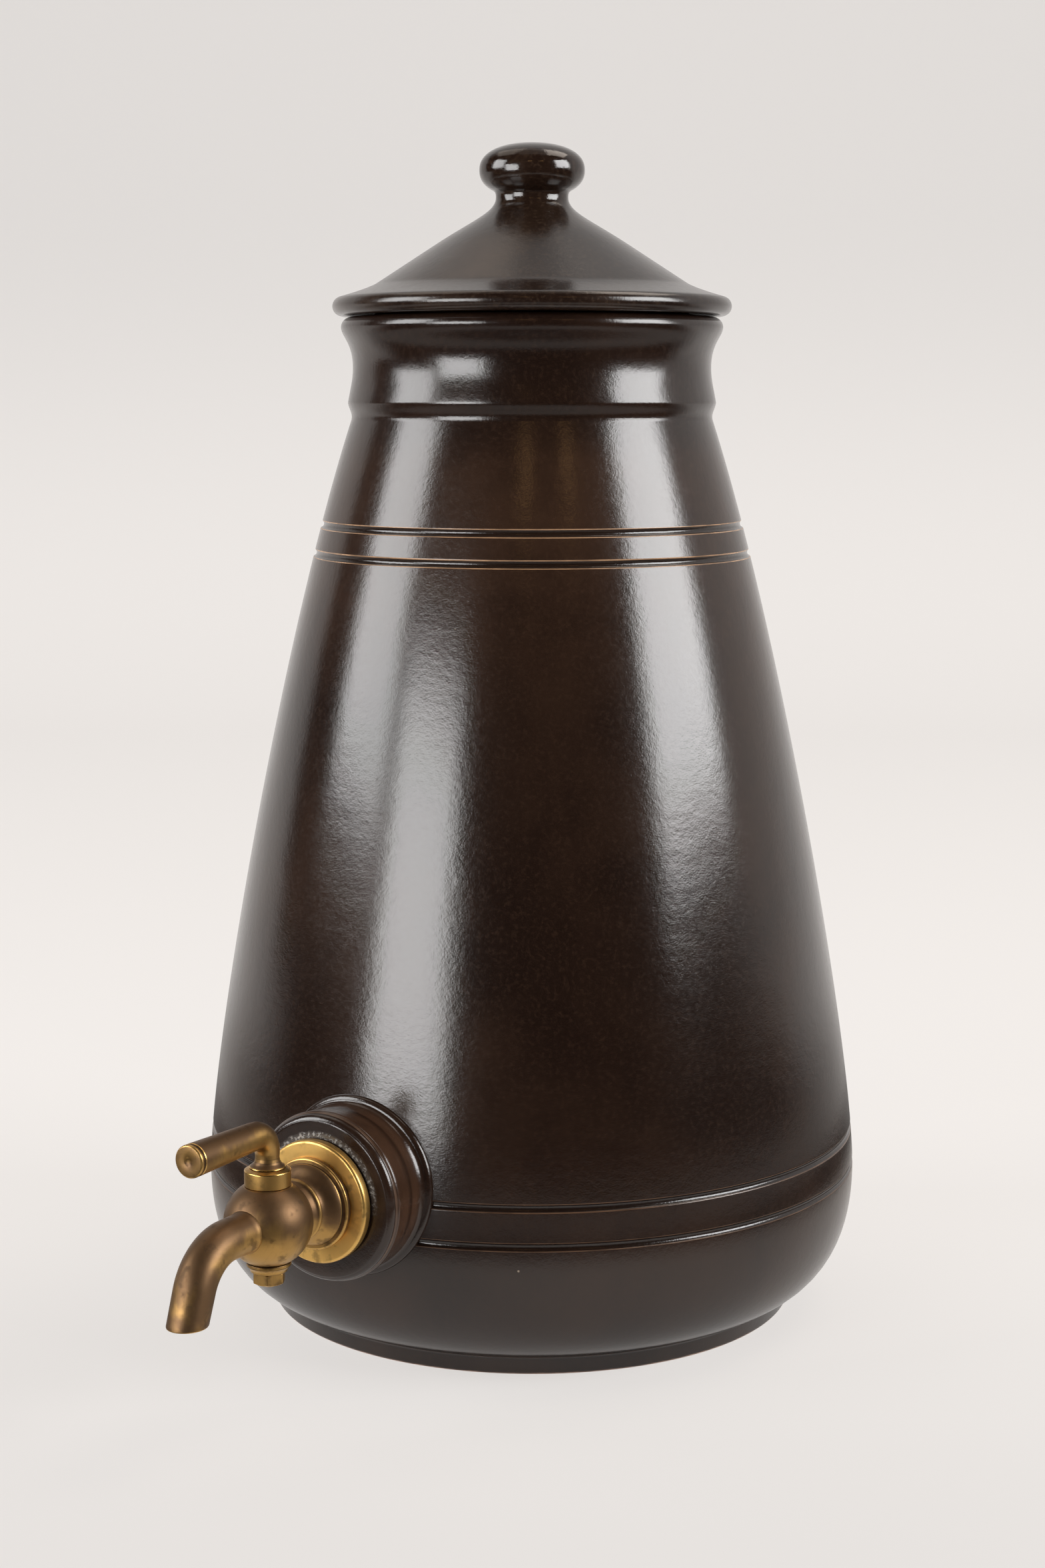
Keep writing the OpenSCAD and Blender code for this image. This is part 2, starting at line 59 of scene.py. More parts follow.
def cornerRow(before, corner, after, radius, count):
    # the arc of that radius that touches both lines that meet in the corner
    before, corner, after = (np.asarray(p, float) for p in (before, corner, after))
    u = (before - corner) / np.linalg.norm(before - corner)
    v = (after - corner) / np.linalg.norm(after - corner)
    half = math.acos(np.clip(u @ v, -1, 1)) / 2
    middle = corner + (u + v) / np.linalg.norm(u + v) * radius / math.sin(half)
    reach = radius / math.tan(half)
    a, b = corner + u * reach - middle, corner + v * reach - middle
    span = math.acos(np.clip(a @ b / radius ** 2, -1, 1))
    t = np.linspace(0, 1, count + 1)[:, None]
    return middle + (np.sin((1 - t) * span) * a + np.sin(t * span) * b) / math.sin(span)


def softLine(corners, count=6, closed=False):
    # a broken line through (x, y, rounding) corners; rounding 0 leaves a corner sharp
    points = [np.array(c[:2], float) for c in corners]
    rows = []
    for i, corner in enumerate(corners):
        atEnd = not closed and i in (0, len(corners) - 1)
        if corner[2] > 0 and not atEnd:
            rows.append(cornerRow(points[i - 1], points[i], points[(i + 1) % len(points)], corner[2], count))
        else:
            rows.append(points[i][None])
    return np.vstack(rows)


def spread(line, step, fine):
    # the same line with rows no further apart than step, or finer inside (low, high, step) ranges
    gaps = np.linalg.norm(np.diff(line, axis=0), axis=1)
    line = line[np.r_[True, gaps > 1e-6]]
    length = np.r_[0, np.cumsum(np.linalg.norm(np.diff(line, axis=0), axis=1))]
    marks = [0.0]
    while marks[-1] < length[-1] - 1e-6:
        here = np.interp(marks[-1], length, line[:, 1])
        size = min([step] + [small + max(low - here, here - high, 0) * 0.35 for low, high, small in fine])
        marks.append(min(marks[-1] + size, length[-1]))
    return np.column_stack([np.interp(marks, length, line[:, k]) for k in (0, 1)])


def bend(line, closed):
    # turning of an outline per millimetre, positive where the solid bulges
    if closed:
        ahead, behind = np.roll(line, -1, axis=0) - line, line - np.roll(line, 1, axis=0)
    else:
        ahead = np.vstack([line[1:] - line[:-1], line[-1:] - line[-2:-1]])
        behind = np.vstack([ahead[:1], ahead[:-1]])
    cross = behind[:, 0] * ahead[:, 1] - behind[:, 1] * ahead[:, 0]
    turn = np.arctan2(cross, (behind * ahead).sum(axis=1))
    reach = np.maximum((np.hypot(*ahead.T) + np.hypot(*behind.T)) / 2, 0.02)
    return turn / reach


# surfaces are (points in millimetres, blocks of faces, turning at each point)

def ringFaces(rows, around, closed):
    # quads of a grid whose columns close into a ring, and its rows too where closed is true;
    # row i, column j is point i * around + j
    i = np.arange(rows if closed else rows - 1)[:, None]
    j = np.arange(around)[None, :]
    k = (i + 1) % rows
    corners = [i * around + j, i * around + (j + 1) % around, k * around + (j + 1) % around, k * around + j]
    return np.stack(corners, axis=-1).reshape(-1, 4)


def skinOver(grid, around, closed, first=None, last=None):
    # faces over a grid of points, with a fan to a single point before its first or after its last row
    faces = [ringFaces(len(grid) // around, around, closed)]
    j = np.arange(around)
    if first is not None:
        faces.append(np.column_stack([np.full(around, len(grid)), (j + 1) % around, j]))
        grid = np.vstack([grid, [first]])
    if last is not None:
        low = len(faces[0])
        faces.append(np.column_stack([low + j, low + (j + 1) % around, np.full(around, len(grid))]))
        grid = np.vstack([grid, [last]])
    return grid, faces


def turned(line, around, placed=None, closed=False):
    # surface of revolution: (r cos a, r sin a, z) for each row (r, z); a row on the axis is one point
    line = np.asarray(line, float)
    onAxis = [not closed and row[0] < 1e-6 for row in (line[0], line[-1])]
    body = slice(int(onAxis[0]), len(line) - int(onAxis[1]))
    a = np.arange(around) * 2 * math.pi / around
    r, z = line[body, :1], line[body, 1:]
    grid = np.stack([r * np.cos(a), r * np.sin(a), np.repeat(z, around, axis=1)], axis=-1).reshape(-1, 3)
    ends = [[0, 0, row[1]] if on else None for on, row in zip(onAxis, (line[0], line[-1]))]
    points, faces = skinOver(grid, around, closed, *ends)
    curve = bend(line, closed)
    curve = np.r_[np.repeat(curve[body], around), curve[:1][:int(onAxis[0])], curve[-1:][:int(onAxis[1])]]
    return (points if placed is None else placed(points)), faces, curve


def swept(rows, pathOf, around, closed=False):
    # round bar or tube along a path in the plane x = 0: rows of (length, radius, share of a level cut)
    # x = q cos a; in the plane, place + q sin a out, slid along the path until level where the share is 1
    rows = np.asarray(rows, float)
    place, ahead, out = pathOf(rows[:, 0])
    a = np.arange(around) * 2 * math.pi / around
    q, level = rows[:, 1:2], rows[:, 2:3]
    lift = q * np.sin(a) * out[:, 1:]
    slide = -level * lift / np.where(np.abs(ahead[:, 1:]) > 0.1, ahead[:, 1:], 1)
    s = place[:, :1] + q * np.sin(a) * out[:, :1] + slide * ahead[:, :1]
    z = place[:, 1:] + lift + slide * ahead[:, 1:]
    grid = np.stack([q * np.cos(a), -s, z], axis=-1)
    curve = bend(rows[:, 1::-1], closed)
    if closed:
        return (*skinOver(grid.reshape(-1, 3), around, True), np.repeat(curve, around))
    points, faces = skinOver(grid[1:-1].reshape(-1, 3), around, False, grid[0, 0], grid[-1, 0])
    return points, faces, np.r_[np.repeat(curve[1:-1], around), curve[[0, -1]]]


def alongTap(points):
    # a shape turned about Z comes to lie along the tap's axis, which points to -Y
    return np.column_stack([points[:, 0], -points[:, 2], points[:, 1] + tap["height"]])


def overBall(points):
    # a shape turned about Z moves to the plug's axis
    return points - [0, tap["ballAt"], 0]


def facingOut(points, blocks):
    # turns a closed surface's faces round where the volume inside them comes out negative
    volume = 0
    for f in blocks:
        a, b, c, d = (points[f[:, k]] for k in (0, 1, 2, -1))
        volume += (a * np.cross(b, c)).sum() + (a * np.cross(c, d)).sum()
    return blocks if volume > 0 else [f[:, ::-1] for f in blocks]


def buildPiece(name, surfaces, marks=None, sharp=40):
    # one object of closed surfaces; edge and hollow keep how much the outline turns out or in
    points = np.vstack([s[0] for s in surfaces])
    starts = np.cumsum([0] + [len(s[0]) for s in surfaces])
    blocks = [f + start for s, start in zip(surfaces, starts) for f in facingOut(s[0], s[1])]
    sizes = np.concatenate([np.full(len(f), f.shape[1]) for f in blocks]).astype(np.int32)
    corners = np.concatenate([f.ravel() for f in blocks]).astype(np.int32)
    curve = np.concatenate([s[2] for s in surfaces])
    mesh = bpy.data.meshes.new(name)
    mesh.vertices.add(len(points))
    mesh.vertices.foreach_set("co", (points * mm).astype(np.float32).ravel())
    mesh.loops.add(len(corners))
    mesh.loops.foreach_set("vertex_index", corners)
    mesh.polygons.add(len(sizes))
    mesh.polygons.foreach_set("loop_start", np.r_[0, np.cumsum(sizes)[:-1]].astype(np.int32))
    mesh.update(calc_edges=True)
    mesh.polygons.foreach_set("use_smooth", np.ones(len(sizes), bool))
    marks = {"edge": np.clip(curve, 0, 8), "hollow": np.clip(-curve, 0, 8), **(marks or {})}
    for key, values in marks.items():
        layer = mesh.attributes.new(key, "FLOAT", "POINT")
        layer.data.foreach_set("value", np.asarray(values, np.float32))
    mesh.set_sharp_from_angle(angle=math.radians(sharp))
    piece = bpy.data.objects.new(name, mesh)
    bpy.context.scene.collection.objects.link(piece)
    return piece


def cutAway(piece, cutter):
    # takes the cutter's space out of the piece for good and merges the points that this doubles;
    # the two limits are in metres
    doubled, noLength = 0.000002, 0.000001
    tool = piece.modifiers.new("cut", "BOOLEAN")
    tool.operation, tool.solver, tool.object = "DIFFERENCE", "EXACT", cutter
    view = bpy.context.evaluated_depsgraph_get()
    cutMesh = bpy.data.meshes.new_from_object(piece.evaluated_get(view))
    work = bmesh.new()
    work.from_mesh(cutMesh)
    bmesh.ops.remove_doubles(work, verts=work.verts, dist=doubled)
    bmesh.ops.dissolve_degenerate(work, dist=noLength, edges=work.edges)
    work.to_mesh(cutMesh)
    work.free()
    piece.modifiers.clear()
    piece.data = cutMesh
    bpy.data.objects.remove(cutter)


def joinPieces(whole, others):
    # puts other objects' meshes, with their marks, into one
    with bpy.context.temp_override(active_object=whole, object=whole, selected_objects=[whole, *others],
                                   selected_editable_objects=[whole, *others]):
        bpy.ops.object.join()


# pot: foot, belly, side with four incised rings, neck and rolled rim, with a boss luted on

tap = {"height": 50.0, "ballAt": 120.2, "around": 128}

pot = {
    "wide": 87.4, "wideAt": 36.0, "wall": 6.0,
    "foot": 70.4, "footIn": 62.4, "footHeight": 4.9, "footLean": 0.6, "footHollow": 3.0, "floor": 9.0,
    "neck": 47.5, "neckAt": 236.0, "rise": 28.5, "run": 60.0, "lean": 18.4,
    "bead": (48.35, 240.4), "waist": (47.0, 249.2), "rim": (50.0, 259.9),
    "roll": 2.6, "lip": 1.5, "mouth": 42.0, "mouthLow": 243.5,
    "rings": (208.9, 201.4, 48.0, 38.5), "tool": 1.1, "ringDepth": 0.6, "broken": 0.07,
    "around": 192,
}


def sideLine(drawnIn, count):
    # outline of the conical side, drawn in from the outside by the wall's thickness or by nothing
    w, n = pot["wide"] - drawnIn, pot["neck"] - drawnIn
    lean = math.radians(pot["lean"])
    return cubicRow((w, pot["wideAt"]), (w, pot["wideAt"] + pot["rise"]),
                    (n + pot["run"] * math.sin(lean), pot["neckAt"] - pot["run"] * math.cos(lean)),
                    (n, pot["neckAt"]), count)


def bellyLine(drawnIn, foot, low, count):
    # outline from the foot out to the widest place
    w = pot["wide"] - drawnIn
    return cubicRow((foot, low), (foot + 0.4, low), (w, low + 3.4), (w, pot["wideAt"]), count)


def neckLine(count):
    bead, waist, rim = (np.array(pot[k]) for k in ("bead", "waist", "rim"))
    flare = rim[1] - waist[1]
    start = np.array([pot["neck"], pot["neckAt"]])
    return np.vstack([
        cubicRow(start, start + (-0.4, 1.76), bead - (0.3, 1.85), bead, count),
        cubicRow(bead, bead + (-0.35, 2.5), waist - (0, 3), waist, count),
        cubicRow(waist, waist + (-0.2, flare * 0.62), rim - (0, flare * 0.22), rim, count)])


def ringed(line):
    # presses each incised ring in: a round nose (tool radius, less what stays out of the clay),
    # eased by 0.5 (n + sqrt(n^2 + broken^2)) so that its edges are slightly broken
    line = line.copy()
    step = np.gradient(line, axis=0)
    out = np.column_stack([step[:, 1], -step[:, 0]]) / np.hypot(step[:, 0], step[:, 1])[:, None]
    stayOut = pot["tool"] - pot["ringDepth"]
    for z in pot["rings"]:
        away = np.abs(line[:, 1] - z) / np.maximum(np.abs(out[:, 0]), 0.2)
        nose = np.sqrt(np.maximum(pot["tool"] ** 2 - away ** 2, 0)) - stayOut
        nose = np.where(away < pot["tool"], nose, -stayOut - (away - pot["tool"]) * 2)
        depth = 0.5 * (nose + np.sqrt(nose ** 2 + pot["broken"] ** 2))
        line -= out * np.where(away < 3, depth, 0)[:, None]
    return line


def potLine():
    # from the middle of the base outwards, up the outside, over the rim and down the inside
    p = pot
    footTop = p["foot"] + p["footLean"]
    foot = softLine([(0, p["footHollow"], 0), (p["footIn"], p["footHollow"], 1.2), (p["footIn"], 0, 0.7),
                     (p["foot"], 0, 0.9), (footTop, p["footHeight"], 1.0),
                     (footTop + 1.8, p["footHeight"] + 0.02, 0)])[:-1]
    belly = bellyLine(0, footTop, p["footHeight"], 60)
    outer = np.vstack([belly[belly[:, 0] > footTop + 1.1], sideLine(0, 600)])
    outer = spread(outer, 2.6, [(z - 1.3, z + 1.3, 0.16) for z in p["rings"]] + [(235, 240, 0.4)])
    neck = spread(neckLine(40), 0.75, [(236.5, 242.5, 0.32)])
    rimR, rimAt = p["rim"]
    rim = np.vstack([arcRow((rimR - p["roll"], rimAt), p["roll"], 4, 90, 14),
                     arcRow((p["mouth"] + p["lip"], rimAt + p["roll"] - p["lip"]), p["lip"], 90, 180, 8)])
    throat, neckIn = (p["mouth"], p["mouthLow"]), (p["neck"] - p["wall"], p["neckAt"])
    inside = np.vstack([[throat], cubicRow(throat, (p["mouth"], 240), (neckIn[0] + 0.4, 239), neckIn, 6),
                        sideLine(p["wall"], 30)[::-1][1:], [(p["wide"] - p["wall"], p["wideAt"])],
                        bellyLine(p["wall"], p["foot"] - p["wall"], p["floor"], 14)[::-1][1:],
                        [(r, p["floor"]) for r in (p["foot"] - p["wall"], 40, 20, 0)]])
    return np.vstack([foot, ringed(outer), neck, rim, inside])


boss = {
    "face": 99.2, "hole": 9.0, "around": 160,
    # the drill through the pot's wall, and the flat that it leaves round the hole inside
    "drill": 9.02, "drillFrom": 60, "drillTo": 96, "flat": 14.5, "flatAt": 81.5,
    # (radius, height, share): the height is over the face's plane where the share is 0,
    # and over the pot's own curved surface where it is 1
    "section": [(9.0, -13.5, 0), (9.0, -0.5, 0), (9.5, 0, 0), (18.2, 0, 0), (19.6, -0.25, 0),
                (20.35, -0.8, 0), (20.68, -1.5, 0), (20.66, -2.05, 0), (20.85, -2.4, 0), (21.12, -2.9, 0),
                (21.1, -3.8, 0), (20.8, -5.2, 0), (20.5, -6.8, 0), (20.3, 4.6, 1), (20.2, 3.1, 1),
                (20.4, 2.0, 1), (20.9, 1.35, 1), (21.5, 1.2, 1), (22.05, 0.9, 1), (22.3, 0.25, 1),
                (22.15, -0.8, 1), (21.5, -2.5, 1), (12.0, -3.5, 1)],
}


def bodyRadius(z):
    # the pot's outside radius at a height, without the incised rings
    line = np.vstack([bellyLine(0, pot["foot"] + pot["footLean"], pot["footHeight"], 80), sideLine(0, 300)])
    return np.interp(z, line[:, 1], line[:, 0])


def smoothLoop(points, per):
    # closed spline through the points: per steps of a cubic between two of them
    points = np.asarray(points, float)
    p0, p1, p2, p3 = (np.roll(points, k, axis=0) for k in (1, 0, -1, -2))
    t = (np.arange(per) / per)[:, None, None]
    rows = 0.5 * (2 * p1 + (p2 - p0) * t + (2 * p0 - 5 * p1 + 4 * p2 - p3) * t ** 2
                  + (3 * p1 - p0 - 3 * p2 + p3) * t ** 3)
    return rows.transpose(1, 0, 2).reshape(-1, points.shape[1])


def bossSurface():
    # section point (radius q, height h, share w) at the angle a round the tap's axis:
    # x = q cos a, z = tap height + q sin a, and -y is the face's plane + h, or the pot's surface + h;
    # the edge mark is a thin crease round the face, and warm is the clay behind it
    loop = smoothLoop(boss["section"], 5)
    a = np.arange(boss["around"]) * 2 * math.pi / boss["around"]
    q = np.maximum(loop[:, 0], boss["hole"])[:, None]
    x, z = q * np.cos(a), tap["height"] + q * np.sin(a)
    surface = np.sqrt(bodyRadius(z) ** 2 - x ** 2)
    share = np.clip(loop[:, 2], 0, 1)[:, None]
    out = (1 - share) * boss["face"] + share * surface + loop[:, 1][:, None]
    points = np.stack([x, -out, z], axis=-1).reshape(-1, 3)
    height, onBoss = loop[:, 1], loop[:, 2] < 0.5
    rim = loop[:, 0] > 20
    crease = np.exp(-((height + 2.2) / 0.35) ** 2) * rim * onBoss
    warm = np.where(onBoss, np.clip((-2.2 - height) / 0.8, 0, 1), np.clip((height - 1.2) / 2, 0, 1)) * rim
    return (points, [ringFaces(len(loop), boss["around"], True)], np.repeat(crease * 2.4, boss["around"]),
            np.repeat(warm, boss["around"]))


def buildPot():
    shell = buildPiece("potShell", [turned(potLine(), pot["around"])])
    s = boss
    drill = [(0, s["drillFrom"]), (s["flat"], s["drillFrom"]), (s["flat"], s["flatAt"]),
             (s["drill"], s["flatAt"]), (s["drill"], s["drillTo"]), (0, s["drillTo"])]
    cutAway(shell, buildPiece("drill", [turned(drill, 96, alongTap)]))
    *surface, warm = bossSurface()
    joinPieces(shell, [buildPiece("bossIsland", [surface], {"warm": warm})])
    shell.name = "pot"
    return shell


# lid: locating ring, overhanging flange, cone and mushroom knob

lid = {
    "low": 262.8, "spigot": 40.5, "spigotIn": 35.5, "spigotLow": 254.8, "thick": 6.0,
    "flange": 52.2, "edge": 2.5, "coneR": 41.9, "coneLow": 270.4, "crest": (24.7, 281.5),
    "neck": 9.46, "neckAt": 293.2, "knob": 13.75, "knobHalf": 7.0, "fullness": 2.3, "around": 192,
}


def lidLine():
    # from the middle of the hollow underside outwards, round the flange and up to the knob's top
    s = lid
    crest = np.array(s["crest"])
    slope = math.atan2(crest[1] - s["coneLow"], s["coneR"] - crest[0])
    inward, drop = s["thick"] * math.sin(slope), s["thick"] * math.cos(slope)
    inner = lambda r: s["coneLow"] - drop + (s["coneR"] - inward - r) * math.tan(slope)
    under = softLine([(0, inner(s["neck"]) + 1, 0), (s["neck"], inner(s["neck"]), 6),
                      (s["spigotIn"], inner(s["spigotIn"]), 2.5), (s["spigotIn"], s["spigotLow"], 1.4),
                      (s["spigot"], s["spigotLow"], 1.4), (s["spigot"], s["low"], 0.9),
                      (s["flange"] - s["edge"], s["low"], 0)])[:-1]
    roll = arcRow((s["flange"] - s["edge"], s["low"] + s["edge"]), s["edge"], -90, 74, 20)
    ledge = cubicRow(roll[-1], roll[-1] + (-2.6, 0.75), (s["coneR"] + 2.2, s["coneLow"] - 0.9),
                     (s["coneR"] - 0.9, s["coneLow"] + 0.58), 14)
    run = crest[0] - s["neck"]
    sweep = cubicRow(crest, crest + 0.6 * np.array([-run, run * math.tan(slope)]),
                     (s["neck"], s["neckAt"] - 3.6), (s["neck"], s["neckAt"]), 24)
    # the knob is |r / knob|^n + |h / knobHalf|^n = 1, with n its fullness
    turn = np.radians(np.linspace(-47, 90, 64))
    power = 2 / s["fullness"]
    rise = np.sign(np.sin(turn)) * np.abs(np.sin(turn)) ** power
    knob = np.column_stack([s["knob"] * np.abs(np.cos(turn)) ** power,
                            s["neckAt"] + s["knobHalf"] * (1 + rise)])
    knob[-1, 0] = 0
    neckTop = (s["neck"], s["neckAt"])
    ease = cubicRow(neckTop, (s["neck"], s["neckAt"] + 0.8), knob[0] - (0.42, 0.62), knob[0], 6)
    return np.vstack([under, roll, ledge, crest[None], sweep, ease[:-1], knob])


def buildLid():
    line = spread(lidLine(), 1.6, [(253.5, 263.5, 0.5), (262.8, 270, 0.4), (284, 308, 0.4)])
    line[0, 0] = line[-1, 0] = 0
    return buildPiece("potLid", [turned(line, lid["around"])])


# tap: cast body, bent spout, the plug with its lever, washer and nut, and the rings on the shank

shank = {
    "start": 70.2, "bore": 3.5, "radius": 8.3, "pitch": 1.34, "depth": 0.7, "threadEnd": 93.3,
    "back": 102.4, "shoulder": 11.35, "thick": 1.7, "edge": 0.6, "step": 10.0, "stepAt": 104.7,
    "throat": 6.9, "throatAt": 106.8, "bead": 7.7, "beadHalf": 0.8, "beadAt": 109.4, "end": 113.0,
}


def neckSurface():
    # bore, thread of plain rings (radius - depth (1 - cos) / 2), shoulder, step, throat and bead
    s = shank
    along = np.arange(s["start"] + 0.5, s["threadEnd"], s["pitch"] / 8)
    wave = 0.5 + 0.5 * np.cos(2 * math.pi * (along - s["start"]) / s["pitch"])
    face = s["back"] + s["thick"]
    loop = np.vstack([
        [(s["bore"], s["start"] + 0.3), (s["bore"] + 0.3, s["start"]), (s["radius"] - 0.9, s["start"])],
        np.column_stack([s["radius"] - s["depth"] * (1 - wave), along]),
        softLine([(s["radius"], s["threadEnd"] + 0.3, 0), (s["radius"], s["back"], 0.2),
                  (s["shoulder"], s["back"], 0.3), (s["shoulder"], face, s["edge"]), (s["step"], face, 0.15),
                  (s["step"], s["stepAt"] - 0.2, 0)]),
        cubicRow((s["step"], s["stepAt"] - 0.2), (s["step"] - 0.6, s["stepAt"] + 1.4),
                 (s["throat"], s["throatAt"]), (s["throat"], s["beadAt"] - s["beadHalf"]), 20),
        arcRow((s["bead"] - s["beadHalf"], s["beadAt"]), s["beadHalf"], -60, 60, 10),
        [(s["throat"], s["beadAt"] + 1.2), (s["throat"], s["end"]), (s["bore"], s["end"])]])
    return turned(loop, tap["around"], alongTap, True)


ball = {"radius": 10.6, "topFlat": 5.6, "lowFlat": 5.05, "plugTop": 4.95, "plugLow": 4.15, "broken": 0.12}


def ballSurface():
    b, middle = ball, tap["height"]
    top = middle + math.sqrt(b["radius"] ** 2 - b["topFlat"] ** 2)
    low = middle - math.sqrt(b["radius"] ** 2 - b["lowFlat"] ** 2)
    start = -math.degrees(math.acos((b["lowFlat"] + b["broken"]) / b["radius"]))
    end = math.degrees(math.acos((b["topFlat"] + b["broken"]) / b["radius"]))
    loop = np.vstack([[(b["plugLow"], low), (b["lowFlat"] - 0.3, low)],
                      arcRow((0, middle), b["radius"], start, end, 56),
                      [(b["topFlat"] - 0.3, top), (b["plugTop"], top)]])
    return turned(loop, tap["around"], overBall, True)


spout = {"radius": 4.9, "bore": 3.6, "start": 127.2, "bendAt": 136.2, "bend": 13.0, "angle": 70.0,
         "mouth": 34.0, "tipIn": 0.1, "fillet": 0.25, "around": 96}


def spoutPath(length):
    # straight out of the ball, round the bend, then straight on and down
    s, full = spout, math.radians(spout["angle"])
    past = length - (s["bendAt"] - s["start"])
    turn = np.clip(past / s["bend"], 0, full)
    ahead = np.column_stack([np.cos(turn), -np.sin(turn)])
    out = np.column_stack([np.sin(turn), np.cos(turn)])
    place = np.array([s["bendAt"], tap["height"] - s["bend"]]) + s["bend"] * out
    place = place + (np.minimum(past, 0) + np.maximum(past - full * s["bend"], 0))[:, None] * ahead
    return place, ahead, out


def spoutSurface():
    # outside to the mouth, round its lip and back along the bore; only the mouth is cut level
    s, full = spout, math.radians(spout["angle"])
    toBend = s["bendAt"] - s["start"]
    afterBend = toBend + full * s["bend"]
    end = afterBend + (tap["height"] - s["bend"] * (1 - math.cos(full)) - s["mouth"]) / math.sin(full)
    lipFrom = end - 0.35
    length = np.r_[np.linspace(0, toBend, 16), np.linspace(toBend, afterBend, 30)[1:],
                   np.linspace(afterBend, lipFrom, 10)[1:]]
    level = np.clip((length - afterBend) / (lipFrom - afterBend), 0, 1)
    outer = s["radius"] - s["tipIn"] * level + s["fillet"] * np.exp(-((length - 2.4) / 0.6) ** 2)
    lip = np.array([(0.2, -0.04), (0.06, -0.12), (0, -0.32), (0, -0.85), (0.06, -1.08), (0.22, -1.18)])
    rows = np.vstack([np.column_stack([length, outer, level]),
                      np.column_stack([end - lip[:, 0] / math.sin(full), s["radius"] - s["tipIn"] + lip[:, 1],
                                       np.ones(len(lip))]),
                      np.column_stack([length, np.full(len(length), s["bore"]), level])[::-1]])
    return swept(rows, spoutPath, s["around"], True)


lever = {
    "foot": 60.2, "bendAt": 66.8, "bend": 5.2, "reach": 29.5, "around": 96,
    # (length from the foot of the stem, radius) up the stem
    "stem": [(0, 0), (0, 1.5), (0.3, 1.8), (3.2, 1.8), (3.22, 4.1), (3.36, 4.3), (3.55, 4.2), (3.8, 3.8),
             (4.2, 3.35), (4.8, 3.0), (5.6, 2.85), (6.6, 2.9), (8.5, 3.1), (10.6, 3.25)],
    # (length before the end, radius) of the grip's end: groove, rounded rim, face and centre mark
    "grip": [(2.1, 3.9), (1.75, 3.9), (1.6, 3.74), (1.35, 3.62), (1.1, 3.74), (0.98, 3.86), (0.68, 3.92),
             (0.34, 3.86), (0.1, 3.66), (0, 3.35), (0, 1.25), (0.1, 1.08), (0.32, 0.75), (0.42, 0.35),
             (0.44, 0)],
    # how many of the first and the last of these rows stay as they are
    "first": 4, "last": 13,
}


def leverPath(length):
    # up from the plug, round a quarter bend and out along the bar
    s = lever
    past = length - (s["bendAt"] - s["foot"])
    turn = np.clip(past / s["bend"], 0, math.pi / 2)
    ahead = np.column_stack([np.sin(turn), np.cos(turn)])
    out = np.column_stack([-np.cos(turn), np.sin(turn)])
    place = np.array([tap["ballAt"] + s["bend"], s["bendAt"]]) + s["bend"] * out
    place = place + (np.minimum(past, 0) + np.maximum(past - s["bend"] * math.pi / 2, 0))[:, None] * ahead
    return place, ahead, out


def leverSurface():
    s = lever
    end = s["bendAt"] - s["foot"] + s["bend"] * math.pi / 2 + s["reach"] - s["bend"]
    grip = np.array(s["grip"])
    key = np.vstack([s["stem"], np.column_stack([end - grip[:, 0], grip[:, 1]])])
    more = np.r_[np.arange(4.4, 14, 0.45), np.arange(14, end - 2.4, 1.6)]
    length = np.sort(np.r_[key[s["first"]:-s["last"], 0], more])
    middle = np.column_stack([length, np.interp(length, key[:, 0], key[:, 1])])
    middle = middle[np.r_[True, np.diff(middle[:, 0]) > 0.05]]
    rows = np.vstack([key[:s["first"]], middle, key[-s["last"]:]])
    return swept(np.column_stack([rows, np.zeros(len(rows))]), leverPath, s["around"])


plug = {
    "low": 34.38, "tail": 1.9, "pitch": 0.8, "depth": 0.12, "nutTop": 38.28, "square": 2.2,
    "taperLow": 4.1, "ballLow": 40.68, "taperTop": 4.9, "ballTop": 59.0,
    "collar": 5.5, "collarLow": 59.1, "collarTop": 63.4, "socket": 1.8, "socketDepth": 3.2,
    "port": 3.1, "portHalf": 8,
}


def buildPlug():
    # threaded tail, neck for the square, taper, and a collar with a socket for the lever's foot
    p = plug
    along = np.arange(p["low"] + 0.85, p["nutTop"] - 0.2, 0.1)
    thread = p["tail"] - p["depth"] * (1 - np.cos(2 * math.pi * along / p["pitch"]))
    bottom = p["collarTop"] - p["socketDepth"]
    line = np.vstack([
        [(0, p["low"]), (1.1, p["low"] + 0.06), (1.55, p["low"] + 0.3)], np.column_stack([thread, along]),
        softLine([(p["square"], p["nutTop"], 0), (p["square"], p["ballLow"] - 0.06, 0),
                  (p["taperLow"], p["ballLow"], 0), (p["taperTop"], p["ballTop"], 0),
                  (p["taperTop"], p["collarLow"], 0), (p["collar"], p["collarLow"], 0.15),
                  (p["collar"], p["collarTop"] - 0.55, 0.3), (4.4, p["collarTop"] - 0.08, 0.8),
                  (p["socket"], p["collarTop"], 0), (p["socket"], bottom, 0), (0, bottom, 0)])])
    piece = buildPiece("plugKey", [turned(line, tap["around"], overBall)])
    back, front = tap["ballAt"] - p["portHalf"], tap["ballAt"] + p["portHalf"]
    bar = [(0, back), (p["port"], back), (p["port"], front), (0, front)]
    cutAway(piece, buildPiece("port", [turned(bar, 48, alongTap)]))
    return piece


nut = {
    "around": 192, "bevel": 0.25, "corner": 1.137, "face": 0.985,
    "tail": {"across": 7.0, "bore": 1.95, "low": 35.38, "high": 38.28},
    "shank": {"across": 23.0, "bore": 8.35, "low": 72.5, "high": 77.5},
}


